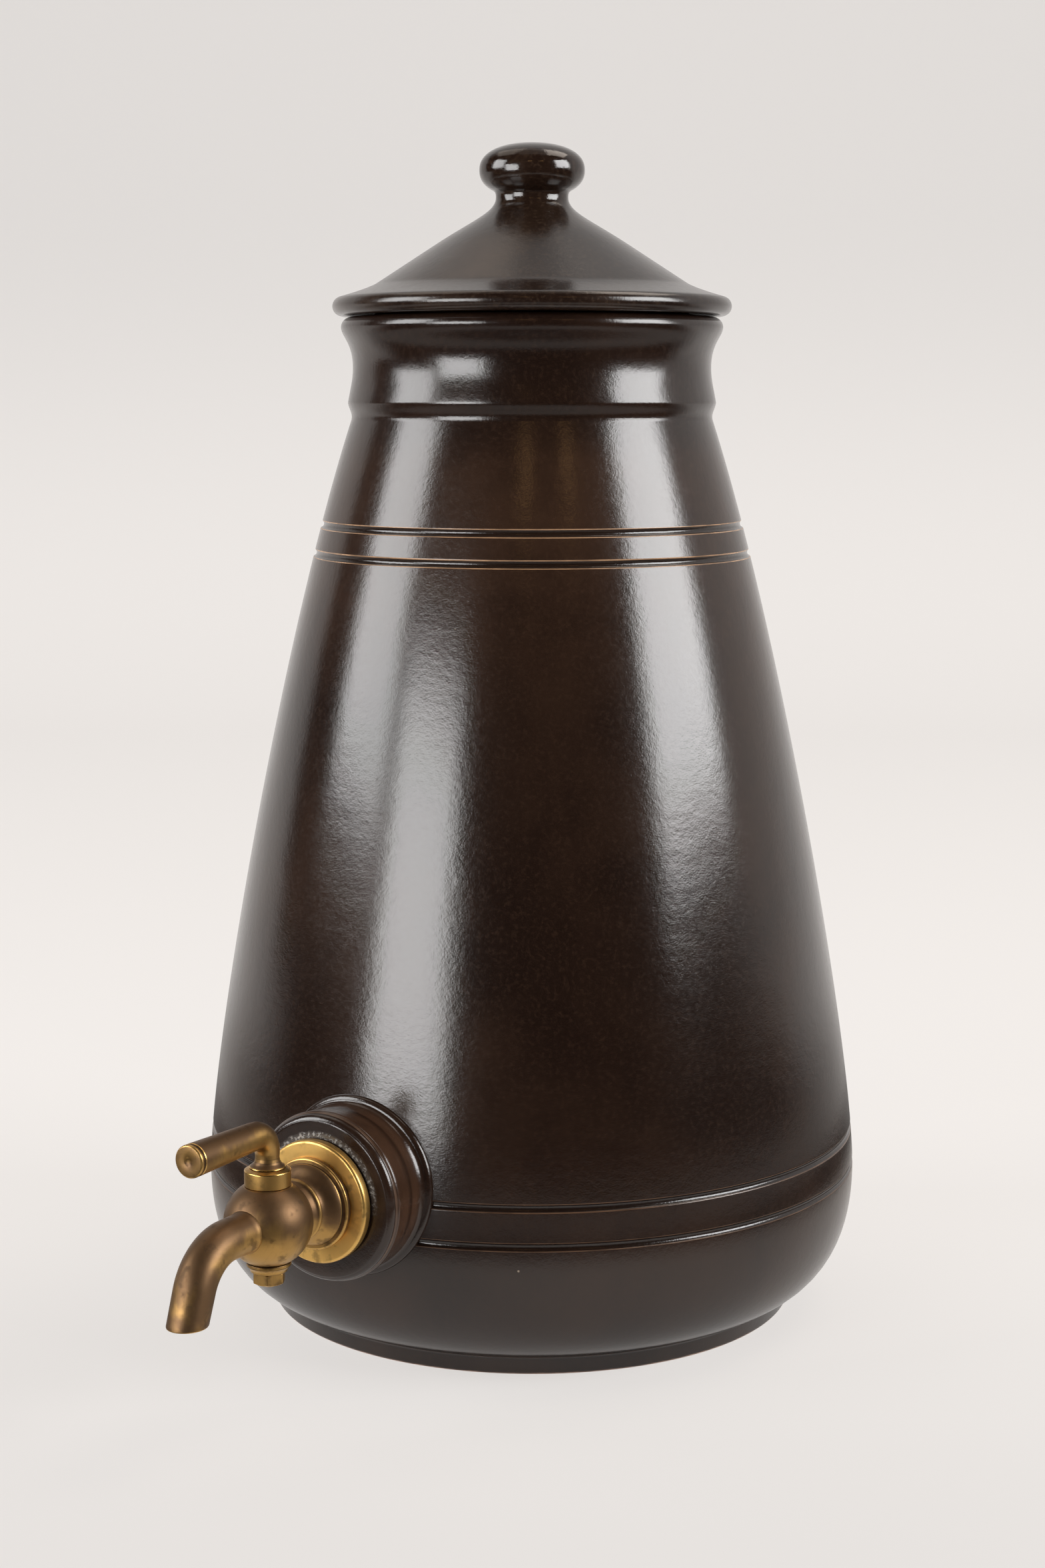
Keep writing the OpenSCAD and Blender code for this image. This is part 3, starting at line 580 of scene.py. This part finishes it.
def nutSurface(across, bore, low, high, placed):
    # hexagon of radius half / cos(angle to the nearest flat's middle), its corners turned off by a cone
    around, bevel = nut["around"], nut["bevel"]
    a = np.arange(around) * 2 * math.pi / around
    half = across / 2
    hexagon = np.minimum(half / np.cos(a % (math.pi / 3) - math.pi / 6), half * nut["corner"])
    face = np.minimum(hexagon, half * nut["face"])
    cone = np.maximum(hexagon - half * nut["face"], 0) * 0.5
    full = np.ones(around)
    rows = [(bore * full, low + bevel), (bore * full + bevel, low), (face, low),
            (hexagon - 0.05, low + cone), (hexagon, low + cone + 0.07), (hexagon, low + cone + 0.2),
            (hexagon, high - cone - 0.2), (hexagon, high - cone - 0.07), (hexagon - 0.05, high - cone),
            (face, high), (bore * full + bevel, high), (bore * full, high - bevel)]
    grid = [np.stack([r * np.cos(a), r * np.sin(a), z * full], axis=-1) for r, z in rows]
    points, faces = skinOver(np.concatenate(grid), around, True)
    edge = np.repeat([0, 0, 0, 2, 2, 0, 0, 2, 2, 0, 0, 0], around)
    return placed(points), faces, edge


# the plain rings that the shank passes through
ring = {
    "around": 160,
    "cover": {"outer": 15.2, "bore": 8.55, "low": 100.0, "high": 102.4, "rounding": 0.8},
    "frontSeal": {"outer": 14.6, "bore": 8.55, "low": 99.2, "high": 100.0, "rounding": 0.15},
    "backSeal": {"outer": 13.8, "bore": 8.55, "low": 79.0, "high": 81.5, "rounding": 0.4},
    "backing": {"outer": 13.2, "bore": 8.55, "low": 77.5, "high": 79.0, "rounding": 0.3},
}


def ringSurface(outer, bore, low, high, rounding):
    corners = [(bore, low, 0.1), (outer, low, 0.15), (outer, high, rounding), (bore, high, 0.1)]
    return turned(softLine(corners, 8, True), ring["around"], alongTap, True)


washer = {
    # (radius, height, rounding) round the section of the stepped washer
    "section": [(2.3, 40.58, 0.1), (5.3, 40.58, 0.25), (5.3, 39.75, 0.3), (4.55, 38.95, 0.3),
                (4.4, 38.28, 0.15), (2.3, 38.28, 0.1)],
}


def washerSurface():
    return turned(softLine(washer["section"], 6, True), tap["around"], overBall, True)


# finishes

class Wire:
    # a socket that sums, products and powers can be written with
    def __init__(self, board, socket):
        self.board, self.socket = board, socket

    def maths(self, operation, first, second):
        return self.board.node("ShaderNodeMath", {"operation": operation}, {0: first, 1: second})

    def __add__(self, other): return self.maths("ADD", self, other)
    def __radd__(self, other): return self.maths("ADD", other, self)
    def __sub__(self, other): return self.maths("SUBTRACT", self, other)
    def __rsub__(self, other): return self.maths("SUBTRACT", other, self)
    def __mul__(self, other): return self.maths("MULTIPLY", self, other)
    def __rmul__(self, other): return self.maths("MULTIPLY", other, self)
    def __pow__(self, other): return self.maths("POWER", self, other)


class Board:
    # the node tree of one material or of the world
    def __init__(self, owner):
        owner.use_nodes = True
        self.tree = owner.node_tree
        self.tree.nodes.clear()

    def node(self, kind, settings=None, values=None, out=0):
        made = self.tree.nodes.new(kind)
        for key, value in (settings or {}).items():
            setattr(made, key, value)
        for key, value in (values or {}).items():
            if isinstance(value, Wire):
                self.tree.links.new(value.socket, made.inputs[key])
            else:
                made.inputs[key].default_value = value
        return Wire(self, made.outputs[out]) if len(made.outputs) else made

    def place(self, out="Object"):
        return self.node("ShaderNodeTexCoord", out=out)

    def stretched(self, scale):
        return self.node("ShaderNodeMapping", {}, {"Vector": self.place(), "Scale": scale})

    def noise(self, vector, scale, detail, rough, twist=0):
        return self.node("ShaderNodeTexNoise", {}, {"Vector": vector, "Scale": scale, "Detail": detail,
                                                    "Roughness": rough, "Distortion": twist})

    def eased(self, value, low, high, start=0.0, end=1.0):
        return self.node("ShaderNodeMapRange", {"interpolation_type": "SMOOTHSTEP"},
                         {"Value": value, "From Min": low, "From Max": high, "To Min": start, "To Max": end})

    def blend(self, factor, first, second):
        return self.node("ShaderNodeMix", {"data_type": "RGBA"}, {0: factor, 6: first, 7: second}, out=2)

    def larger(self, first, second):
        return self.node("ShaderNodeMath", {"operation": "MAXIMUM"}, {0: first, 1: second})

    def along(self, vector, way):
        return self.node("ShaderNodeVectorMath", {"operation": "DOT_PRODUCT"}, {0: vector, 1: way},
                         out="Value")

    def mark(self, name):
        return self.node("ShaderNodeAttribute", {"attribute_name": name}, out="Fac")

    def part(self, vector, axis):
        return self.node("ShaderNodeSeparateXYZ", {}, {0: vector}, out=axis)

    def ray(self, kind):
        return self.node("ShaderNodeLightPath", out="Is " + kind + " Ray")

    def cell(self, vector, scale, what):
        return self.node("ShaderNodeTexVoronoi", {"feature": "F1"}, {"Vector": vector, "Scale": scale},
                         out=what)

    def bumped(self, height, distance, strength=1.0):
        return self.node("ShaderNodeBump", {}, {"Strength": strength, "Distance": distance,
                                                "Height": height})

    def finish(self, shader, target="ShaderNodeOutputMaterial"):
        self.node(target, {}, {"Surface": shader})


def tone(r, g, b):
    return (r, g, b, 1.0)


# lengths in the finishes and below are in metres

glaze = {
    "dark": tone(0.0095, 0.0046, 0.003), "pool": tone(0.005, 0.0028, 0.002),
    "brown": tone(0.024, 0.012, 0.007), "lidBrown": tone(0.038, 0.023, 0.0145),
    "warm": tone(0.05, 0.025, 0.0145), "thin": tone(0.34, 0.2, 0.11), "worn": tone(0.105, 0.058, 0.034),
    "clay": tone(0.56, 0.36, 0.27), "fleck": tone(0.3, 0.24, 0.18), "lime": tone(0.42, 0.39, 0.35),
    "ior": 1.55, "relief": 0.000024, "fleckScale": 70.0,
    # heights between which the warm patches under the neck come and go, and the edges turn thinner
    "warmIn": (0.16, 0.2), "warmOut": (0.235, 0.225), "thinner": (0.1, 0.19),
    # distances from the tap's axis between which the scale's inner and outer border lie,
    # its way up to the right, and how far behind the boss's face it ends
    "limeInner": (0.0149, 0.0153), "limeOuter": (0.0171, 0.0156), "limeUp": (0.002, 0.0125),
    "limeFace": (0.0012, 0.0002),
}


def glazeFinish(name, light, rough, riseAt, bareBelow, limeAt=None):
    # dark brown glaze: mottled, thin and tan on broken edges, pooled dark in hollows; its roughness
    # goes from one value to another over the heights riseAt, and limeAt is the y and z of the scale
    skin = bpy.data.materials.new(name)
    b = Board(skin)
    place = b.place()
    z = b.part(place, "Z")
    clouds = b.noise(place, 16, 4, 0.55, 0.4)
    runs = b.noise(b.stretched((1.0, 1.0, 0.12)), 42, 3, 0.5)
    grain = b.noise(place, 900, 3, 0.65)
    mottle = b.eased(clouds * 0.62 + runs * 0.38, 0.42, 0.66)
    colour = b.blend(mottle * 0.7, glaze["dark"], glaze[light])
    colour = b.blend(b.eased(grain, 0.48, 0.7) * 0.5, colour, glaze[light])
    patchy = 0.45 + 0.55 * b.eased(b.noise(place, 120, 4, 0.6), 0.3, 0.65)
    high = b.eased(z, *glaze["warmIn"]) * b.eased(z, *glaze["warmOut"]) * 0.25
    colour = b.blend(b.larger(b.mark("warm"), high) * patchy, colour, glaze["warm"])
    colour = b.blend(b.eased(b.mark("hollow"), 0.25, 1.2) * 0.8, colour, glaze["pool"])
    worn = b.eased(b.noise(place, 130, 2, 0.5), 0.3, 0.62)
    higher = glaze["thinner"]
    thin = b.eased(b.mark("edge"), 0.6, 2.0) * (0.5 + 0.5 * worn) * b.eased(z, *higher, 0.65, 0.95)
    colour = b.blend(thin, colour, b.blend(b.eased(z, *higher), glaze["worn"], glaze["thin"]))
    # a light fleck in the middle of one cell in about fifteen
    apart, pick = (b.cell(place, glaze["fleckScale"], what) for what in ("Distance", "Color"))
    chosen = b.node("ShaderNodeSeparateColor", {}, {0: pick}, out="Red")
    fleck = b.eased(apart, 0.032, 0.018) * b.eased(chosen, 0.93, 0.94)
    colour = b.blend(fleck * 0.7, colour, glaze["fleck"])
    ragged = z + (b.noise(place, 160, 2, 0.5) - 0.5) * 0.0006
    bare = b.eased(ragged, bareBelow + 0.0003, bareBelow - 0.0003)
    colour = b.blend(bare, colour, glaze["clay"])
    shine = b.eased(z, *riseAt, *rough) + (clouds - 0.5) * 0.05 + (grain - 0.5) * 0.12
    shine = shine + thin * 0.12 + bare * 0.5
    # fine grain, orange peel, dents of the hand and faint rings of the throwing
    peel = b.noise(place, 2400, 2, 0.6) * 0.9 + b.noise(place, 800, 2, 0.5)
    peel = peel + b.noise(place, 210, 2, 0.5) * 1.6 + b.noise(place, 30, 2, 0.5) * 6
    peel = peel + b.noise(b.stretched((0.1, 0.1, 1.0)), 130, 2, 0.5) * 1.2
    if limeAt:
        # a crust of scale on the boss's face, along the upper right of the cover ring
        x, y = b.part(place, "X"), b.part(place, "Y")
        up = z - limeAt[1]
        reach = (x * x + up * up) ** 0.5
        band = b.eased(reach, *glaze["limeInner"]) * b.eased(reach, *glaze["limeOuter"])
        onFace = b.eased(y, *(limeAt[0] + d for d in glaze["limeFace"]))
        there = band * b.eased(x * 0.35 + up, *glaze["limeUp"]) * onFace
        crumbs = there * b.eased(b.noise(place, 1100, 3, 0.6), 0.47, 0.62)
        haze = there * 0.16
        colour = b.blend(b.larger(crumbs * 0.8, haze), colour, glaze["lime"])
        shine = shine + crumbs * 0.4
        peel = peel + crumbs * 5
    shader = b.node("ShaderNodeBsdfPrincipled", {}, {
        "Base Color": colour, "Roughness": shine, "IOR": glaze["ior"],
        "Normal": b.bumped(peel, glaze["relief"])})
    b.finish(shader)
    return skin


brass = {
    "golden": tone(0.47, 0.28, 0.09), "clean": tone(0.76, 0.47, 0.145), "brown": tone(0.13, 0.074, 0.036),
    "dull": tone(0.055, 0.033, 0.018), "relief": 0.000012,
}


def brassFinish(name, metal, patina, rough, paintedTopShade):
    # aged brass: metal under brown patina patches, with more brown painted on surfaces that face up as
    # painted shade, and the patches rubbed off along edges; patina is the two values of the noise between
    # which the patches come in
    skin = bpy.data.materials.new(name)
    b = Board(skin)
    place = b.place()
    patches = b.noise(place, 62, 4, 0.55, 0.5)
    turnedLines = b.noise(b.stretched((1.0, 5.0, 1.0)), 300, 3, 0.6)
    grime = b.noise(place, 1100, 3, 0.6)
    upward = b.part(b.place("Normal"), "Z")
    # painted shade: surfaces that face up get more of the brown patina colour, on top of the real patina
    # patches
    patinaAndTopShade = b.eased(patches + upward * paintedTopShade, *patina)
    rubbed = b.eased(b.mark("edge"), 0.5, 2.5)
    patinaAndTopShade = patinaAndTopShade * (1 - rubbed * 0.75)
    colour = b.blend(patinaAndTopShade, brass[metal], brass["brown"])
    colour = b.blend(rubbed * 0.6, colour, brass["clean"])
    colour = b.blend(b.eased(turnedLines, 0.5, 0.8) * 0.25, colour, brass["brown"])
    colour = b.blend(b.eased(b.mark("hollow"), 0.3, 1.5) * 0.8, colour, brass["dull"])
    stains = b.eased(b.noise(place, 260, 3, 0.55), 0.55, 0.7)
    colour = b.blend(stains * 0.55, colour, brass["dull"])
    shine = (rough + patinaAndTopShade * 0.08 + (grime - 0.5) * 0.14 + stains * 0.1) * (1 - rubbed * 0.35)
    tiny = b.noise(place, 2400, 2, 0.5) * 0.7 + b.noise(place, 600, 3, 0.5) * 1.1
    tiny = tiny + b.noise(place, 130, 2, 0.5) * 2
    shader = b.node("ShaderNodeBsdfPrincipled", {}, {
        "Base Color": colour, "Metallic": 1 - patinaAndTopShade * 0.12, "Roughness": shine,
        "Normal": b.bumped(tiny, brass["relief"])})
    b.finish(shader)
    return skin


rubber = {"black": tone(0.018, 0.018, 0.019), "dusty": tone(0.05, 0.048, 0.045), "relief": 0.00005}


def rubberFinish():
    skin = bpy.data.materials.new("sealRubber")
    b = Board(skin)
    dust = b.noise(b.place(), 320, 3, 0.6)
    b.finish(b.node("ShaderNodeBsdfPrincipled", {}, {
        "Base Color": b.blend(dust, rubber["black"], rubber["dusty"]), "Roughness": 0.55 + dust * 0.2,
        "Normal": b.bumped(dust, rubber["relief"], 0.6)}))
    return skin


def fitted(piece, skin, body, node):
    # gives the piece its finish and the body it rides, and hides the node that it replaces
    piece.data.materials.clear()
    piece.data.materials.append(skin)
    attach(piece, body)
    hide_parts(node)
    return piece


potGlaze = glazeFinish("potGlaze", light="brown", rough=(0.17, 0.185), riseAt=(0.225, 0.24),
                       bareBelow=0.0003, limeAt=(-0.0992, 0.05))
potPiece = fitted(buildPot(), potGlaze, "pot", "pot_body")
lidGlaze = glazeFinish("lidGlaze", light="lidBrown", rough=(0.2, 0.11), riseAt=(0.285, 0.294), bareBelow=-1)
lidPiece = fitted(buildLid(), lidGlaze, "lid", "lid")
print("pot and lid:", len(potPiece.data.polygons), len(lidPiece.data.polygons), "faces")

agedBrass = brassFinish("agedBrass", metal="golden", patina=(0.34, 0.64), rough=0.37, paintedTopShade=0.3)
rubbedBrass = brassFinish("rubbedBrass", metal="golden", patina=(0.46, 0.8), rough=0.36, paintedTopShade=0.12)
cleanBrass = brassFinish("cleanBrass", metal="clean", patina=(0.5, 0.9), rough=0.38, paintedTopShade=0.06)
sealRubber = rubberFinish()
fitted(buildPiece("tapBody", [neckSurface(), ballSurface()], sharp=50), agedBrass, "pot", "tap_body")
fitted(buildPiece("bentSpout", [spoutSurface()], sharp=50), agedBrass, "pot", "spout")
fitted(buildPiece("leverBar", [leverSurface()], sharp=50), agedBrass, "valve", "lever_handle")
fitted(buildPlug(), rubbedBrass, "valve", "plug")
fitted(buildPiece("squareWasher", [washerSurface()]), rubbedBrass, "valve", "plug_washer")
fitted(buildPiece("tailNut", [nutSurface(**nut["tail"], placed=overBall)], sharp=25),
       rubbedBrass, "valve", "plug_nut")
fitted(buildPiece("coverDisc", [ringSurface(**ring["cover"])]),
       cleanBrass, "pot", "cover_ring")
fitted(buildPiece("innerWasher", [ringSurface(**ring["backing"])]),
       rubbedBrass, "pot", "backing_washer")
fitted(buildPiece("shankNut", [nutSurface(**nut["shank"], placed=alongTap)], sharp=25),
       rubbedBrass, "pot", "lock_nut")
fitted(buildPiece("frontRubber", [ringSurface(**ring["frontSeal"])]),
       sealRubber, "pot", "front_seal")
fitted(buildPiece("backRubber", [ringSurface(**ring["backSeal"])]),
       sealRubber, "pot", "back_seal")
print("tap: 11 pieces")


# stage, light and camera

stage = {
    "size": 3.0, "wallAt": 1.7, "wallHeight": 1.6, "sweep": 0.5, "viewAzimuth": 31.2,
    "paper": tone(0.62, 0.605, 0.59), "dark": tone(0.012, 0.01, 0.009), "room": tone(0.75, 0.725, 0.705),
    "seen": tone(0.955, 0.915, 0.885), "seenShaded": tone(0.79, 0.76, 0.74),
}
viewAngle = math.radians(stage["viewAzimuth"])
backward = (-math.sin(viewAngle), math.cos(viewAngle), 0.0)
sideways = (math.cos(viewAngle), math.sin(viewAngle), 0.0)


def buildStage():
    # a floor that sweeps up into a backdrop behind the pot, as seen from the camera
    s = stage
    t = np.radians(np.linspace(0, 90, 16))[1:]
    curve = np.column_stack([s["wallAt"] - s["sweep"] * (1 - np.sin(t)), s["sweep"] * (1 - np.cos(t))])
    line = np.vstack([[(-s["size"], 0), (s["wallAt"] - s["sweep"], 0)], curve,
                      [(s["wallAt"], s["wallHeight"])]])
    left = line[:, :1] * np.array(backward) + line[:, 1:] * [0, 0, 1] - np.array(sideways) * s["size"]
    points = np.vstack([left, left + 2 * s["size"] * np.array(sideways)])
    n = len(line)
    i = np.arange(n - 1)
    mesh = bpy.data.meshes.new("sweep")
    mesh.from_pydata(points.tolist(), [], np.column_stack([i, i + n, i + n + 1, i + 1]).tolist())
    mesh.polygons.foreach_set("use_smooth", np.ones(n - 1, bool))
    sweep = bpy.data.objects.new("sweep", mesh)
    bpy.context.scene.collection.objects.link(sweep)
    skin = bpy.data.materials.new("sweepPaper")
    b = Board(skin)
    place = b.place()
    behind = b.along(place, backward)
    away = b.node("ShaderNodeVectorMath", {"operation": "LENGTH"}, {0: place}, out="Value")
    # in the pot's gloss the table shows near its foot, faintly in a ring further out and behind it,
    # and the room before it stays dark
    far = b.eased(behind, 0.05, 0.6)
    further = b.eased(away, 0.25, 0.32) * b.eased(away, 0.6, 0.42) * 0.5
    near = b.larger(b.eased(away, 0.23, 0.15), further)
    glossy, camera = b.ray("Glossy"), b.ray("Camera")
    paper = b.node("ShaderNodeBsdfDiffuse", {}, {
        "Color": b.blend(glossy * (1 - b.larger(near, far)), s["paper"], s["dark"])})
    # painted shade: the glow that the camera sees of the paper is dimmer high up the backdrop and on the
    # floor towards the front
    seen = b.blend(b.larger(b.eased(b.part(place, "Z"), 0.05, 0.42), b.eased(behind, 0.05, -0.2)),
                   s["seen"], s["seenShaded"])
    # to the camera, the paper fades into the room's colour where it ends
    front = b.eased(away, 1.2, 2.6) * b.eased(behind, 1.3, 0.8)
    glow = b.node("ShaderNodeEmission", {}, {"Color": b.blend(front, seen, s["room"]), "Strength": 1.0})
    shown = b.larger(far * 0.8, b.eased(away, 0.17, 0.11) * 0.45)
    bright = b.larger(camera * (0.7 + 0.3 * front), glossy * shown)
    b.finish(b.node("ShaderNodeMixShader", {}, {0: bright, 1: paper, 2: glow}))
    mesh.materials.append(skin)


def buildWorld():
    # the room's colour to the camera, dim to matt surfaces, and to gloss bright only behind the pot
    world = bpy.data.worlds.new("studio")
    bpy.context.scene.world = world
    b = Board(world)
    behind = b.along(b.place("Generated"), backward)
    right = b.along(b.place("Generated"), sideways)
    camera, soft = b.ray("Camera"), b.ray("Diffuse")
    glossy = b.eased(behind + right * 0.4, 0.12, 0.65, 0.012, 0.9)
    strength = camera + (1 - camera) * (soft * 0.3 + (1 - soft) * glossy)
    b.finish(b.node("ShaderNodeBackground", {}, {"Color": stage["room"], "Strength": strength}),
             "ShaderNodeOutputWorld")


lamps = {
    "white": (1.0, 1.0, 1.0), "warm": (1.0, 0.55, 0.22),
    "sky": (1.0, 0.88, 0.77), "dimSky": (1.0, 0.86, 0.74),
    "reach": 1.4, "ceilingReach": 0.85, "ceilingHeight": 1.6, "ceilingWide": 0.9,
    # upright ones: azimuth, bottom, top, width, glow and colour; two small warm ones are over the front
    "upright": {
        "leftLight": (-48.5, 0.34, 1.2, 0.74, 8.0, "white"),
        "lowLeftLight": (-14.5, 0.02, 0.6, 0.72, 9.5, "white"),
        "rightLight": (102, 0.35, 1.2, 0.9, 11.5, "white"),
        "firstLamp": (27, 1.0, 1.14, 0.1, 3.5, "warm"),
        "secondLamp": (53, 1.0, 1.14, 0.1, 3.5, "warm"),
    },
    # level ones overhead: azimuth, glow and colour
    "overhead": {"ceilingRight": (142, 3.2, "sky"), "ceilingLeft": (-95, 1.0, "sky")},
    "middle": {"glow": 0.3, "back": 0.1},
}


def softbox(name, wide, tall, glow, colour, location, turn):
    # an even light of that size that the camera doesn't see; the glow is its brightness
    lamp = bpy.data.lights.new(name, "AREA")
    lamp.shape, lamp.size, lamp.size_y = "RECTANGLE", wide, tall
    lamp.energy = glow * math.pi * wide * tall
    lamp.color = lamps[colour]
    holder = bpy.data.objects.new(name, lamp)
    holder.location, holder.rotation_euler = location, turn
    holder.visible_camera = False
    bpy.context.scene.collection.objects.link(holder)


def buildLight():
    reach, above, wide = lamps["ceilingReach"], lamps["ceilingHeight"], lamps["ceilingWide"]
    for name, (azimuth, low, high, width, glow, colour) in lamps["upright"].items():
        a = math.radians(azimuth)
        place = (lamps["reach"] * math.sin(a), -lamps["reach"] * math.cos(a), (low + high) / 2)
        softbox(name, width, high - low, glow, colour, place, (math.radians(90), 0, a))
    for name, (azimuth, glow, colour) in lamps["overhead"].items():
        a = math.radians(azimuth)
        place = (reach * math.sin(a), -reach * math.cos(a), above)
        softbox(name, wide, wide, glow, colour, place, (0, 0, a))
    middle = lamps["middle"]
    place = (0, middle["back"], above)
    softbox("ceilingMiddle", wide, wide, middle["glow"], "dimSky", place, (0, 0, viewAngle))


view = {"lens": 60.42, "sensor": 36.0, "nearest": 0.01, "height": 0.2417, "distance": 0.7,
        "aside": 0.002493, "down": 8.3465}


def buildCamera():
    # fitted to the ellipses of the pot's rims, rings and foot
    camera = bpy.data.cameras.new("view")
    camera.sensor_width, camera.lens, camera.clip_start = view["sensor"], view["lens"], view["nearest"]
    holder = bpy.data.objects.new("view", camera)
    holder.location = (np.array([0, 0, view["height"]]) - view["distance"] * np.array(backward)
                       - view["aside"] * np.array(sideways))
    holder.rotation_euler = (math.radians(90 - view["down"]), 0, viewAngle)
    bpy.context.scene.collection.objects.link(holder)
    bpy.context.scene.camera = holder


buildStage()
buildWorld()
buildLight()
buildCamera()
bpy.context.scene.view_settings.view_transform = "Standard"
print("stage, light and camera ready")
